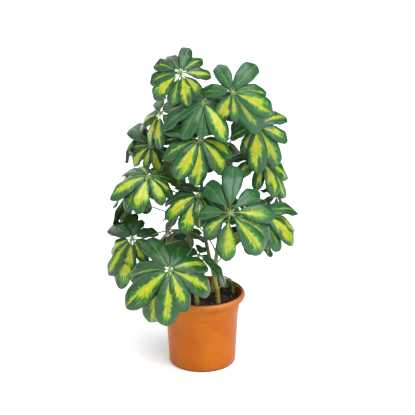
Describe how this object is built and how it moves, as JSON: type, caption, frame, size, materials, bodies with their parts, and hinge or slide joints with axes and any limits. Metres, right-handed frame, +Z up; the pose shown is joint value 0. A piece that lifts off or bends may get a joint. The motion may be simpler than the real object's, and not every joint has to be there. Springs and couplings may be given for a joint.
{
  "type": "potted umbrella plant",
  "caption": "House plant with umbrella-shaped compound leaves on woody stems, growing in soil in a round plastic nursery pot with a rolled rim.",
  "frame": {"origin": "centre of the pot's foot, on the surface that it stands on", "axes": "+Z up along the pot's axis; -Y towards the viewer of the picture, +X to the viewer's right"},
  "size_m": [0.4606, 0.4037, 0.787],
  "materials": {
    "pot": "smooth orange plastic with a soft sheen",
    "soil": "crumbly dark brown potting soil with pale grains",
    "stem": "matt green-brown bark with leaf scars",
    "leaf": "smooth waxy leaf, dark green with ragged yellow patches"
  },
  "bodies": {
    "root": {"pot": "pot", "soil": "soil", "front_stem": "stem", "left_stem": "stem", "back_stem": "stem", "front_leaf_1": "leaf", "front_leaf_2": "leaf", "front_leaf_3": "leaf", "front_leaf_4": "leaf", "front_leaf_5": "leaf", "front_leaf_6": "leaf", "front_leaf_7": "leaf", "left_leaf_1": "leaf", "left_leaf_2": "leaf", "left_leaf_3": "leaf", "left_leaf_4": "leaf", "left_leaf_5": "leaf", "left_leaf_6": "leaf", "left_leaf_7": "leaf", "left_leaf_8": "leaf", "left_leaf_9": "leaf", "left_leaf_10": "leaf", "left_leaf_11": "leaf", "back_leaf_1": "leaf", "back_leaf_2": "leaf", "back_leaf_3": "leaf", "back_leaf_4": "leaf", "back_leaf_5": "leaf", "back_leaf_6": "leaf", "back_leaf_7": "leaf", "back_leaf_8": "leaf", "back_leaf_9": "leaf", "back_leaf_10": "leaf", "back_leaf_11": "leaf"}
  },
  "joints": []
}
